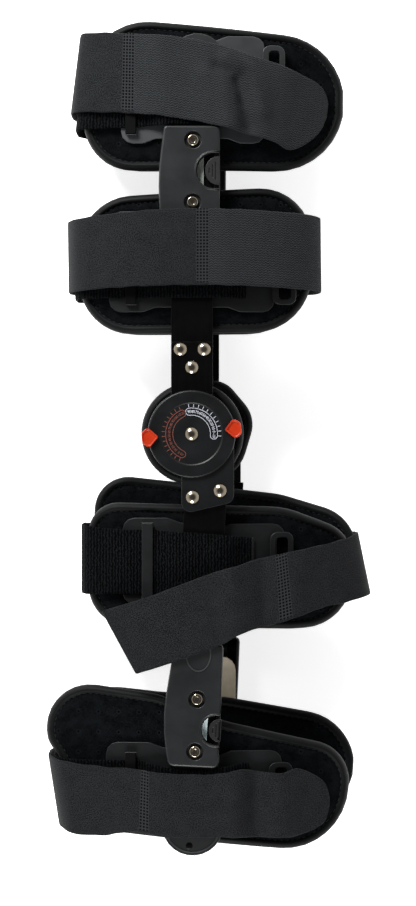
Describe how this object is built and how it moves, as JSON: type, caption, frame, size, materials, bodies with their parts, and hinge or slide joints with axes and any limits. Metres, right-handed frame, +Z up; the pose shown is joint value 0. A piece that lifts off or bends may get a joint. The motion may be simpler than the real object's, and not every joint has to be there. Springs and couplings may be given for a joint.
{
  "type": "hinged knee brace",
  "caption": "Range-of-motion knee brace lying on its side: padded cuffs with plastic shells and hook-and-loop straps on telescoping side bars with dial hinges at the knee.",
  "frame": {"origin": "under the middle of the brace's box, on the table it lies on, medial side down", "axes": "+Y along the leg towards the thigh, +Z up out of the table towards the lateral side, +X to the right seen from the lateral side"},
  "size_m": [0.2182, 0.5538, 0.1],
  "materials": {
    "bar": "black anodised, matte",
    "dial": "dark grey matte with a fine grain",
    "rivet": "polished, warm nickel",
    "stop": "orange-red, smooth",
    "housing": "dark grey satin moulding",
    "button": "black satin moulding",
    "lock_plate": "pale, brushed",
    "shell": "grey satin moulding",
    "clip": "grey satin moulding",
    "pad": "black brushed loop fabric over foam",
    "base_strap": "black loop pile",
    "band": "charcoal knitted loop fabric"
  },
  "bodies": {
    "thigh": {"lateral_upper_bar": "bar", "lateral_hinge_arm": "bar", "medial_upper_bar": "bar", "medial_hinge_arm": "bar", "arm_rivet_1": "rivet", "arm_rivet_2": "rivet", "arm_rivet_3": "rivet", "lateral_knee_pad": "pad", "medial_knee_pad": "pad", "cuff2_lateral_shell": "shell", "cuff2_medial_shell": "shell", "cuff2_lateral_pad": "pad", "cuff2_medial_pad": "pad", "cuff2_clip": "clip", "cuff2_band": "band", "cuff2_base_strap": "base_strap"},
    "shank": {"lateral_dial_plate": "dial", "medial_dial_plate": "dial", "lateral_lower_bar": "bar", "medial_lower_bar": "bar", "pivot_rivet": "rivet", "bracket_rivet_1": "rivet", "bracket_rivet_2": "rivet", "cuff3_lateral_shell": "shell", "cuff3_medial_shell": "shell", "cuff3_lateral_pad": "pad", "cuff3_medial_pad": "pad", "cuff3_clip": "clip", "cuff3_band": "band", "cuff3_base_strap": "base_strap"},
    "thigh_slider": {"lateral_thigh_housing": "housing", "medial_thigh_housing": "housing", "thigh_screw_1": "rivet", "thigh_screw_2": "rivet", "thigh_lock_plate": "lock_plate", "cuff1_lateral_shell": "shell", "cuff1_medial_shell": "shell", "cuff1_lateral_pad": "pad", "cuff1_medial_pad": "pad", "cuff1_clip": "clip", "cuff1_band": "band", "cuff1_base_strap": "base_strap"},
    "calf_slider": {"lateral_calf_housing": "housing", "medial_calf_housing": "housing", "calf_screw_1": "rivet", "calf_screw_2": "rivet", "calf_lock_plate": "lock_plate", "medial_lock_plate": "lock_plate", "cuff4_lateral_shell": "shell", "cuff4_medial_shell": "shell", "cuff4_lateral_pad": "pad", "cuff4_medial_pad": "pad", "cuff4_clip": "clip", "cuff4_band": "band", "cuff4_base_strap": "base_strap"},
    "thigh_push_button": {"thigh_button": "button"},
    "calf_push_button": {"calf_button": "button"},
    "extension_stop_slide": {"extension_stop": "stop"},
    "flexion_stop_slide": {"flexion_stop": "stop"}
  },
  "joints": [
    {"name": "knee_hinge", "type": "hinge", "parent": "thigh", "child": "shank", "pos_m": [-0.01208, 0.00254, 0.0505], "axis": [0, 0, -1], "range_deg": [-3, 90]},
    {"name": "thigh_length", "type": "slide", "parent": "thigh", "child": "thigh_slider", "axis": [0, 1, 0], "range_m": [0, 0.035]},
    {"name": "calf_length", "type": "slide", "parent": "shank", "child": "calf_slider", "axis": [-0.0523, -0.9986, 0], "range_m": [0, 0.035]},
    {"name": "thigh_button_press", "type": "slide", "parent": "thigh_slider", "child": "thigh_push_button", "axis": [-1, 0, 0], "range_m": [0, 0.003], "stiffness_N_per_m": 500},
    {"name": "calf_button_press", "type": "slide", "parent": "calf_slider", "child": "calf_push_button", "axis": [-0.9986, 0.0523, 0], "range_m": [0, 0.003], "stiffness_N_per_m": 500},
    {"name": "extension_setting", "type": "hinge", "parent": "shank", "child": "extension_stop_slide", "pos_m": [-0.01208, 0.00254, 0.0505], "axis": [0, 0, 1], "range_deg": [-10, 75]},
    {"name": "flexion_setting", "type": "hinge", "parent": "shank", "child": "flexion_stop_slide", "pos_m": [-0.01208, 0.00254, 0.0505], "axis": [0, 0, 1], "range_deg": [-55, 50]}
  ]
}
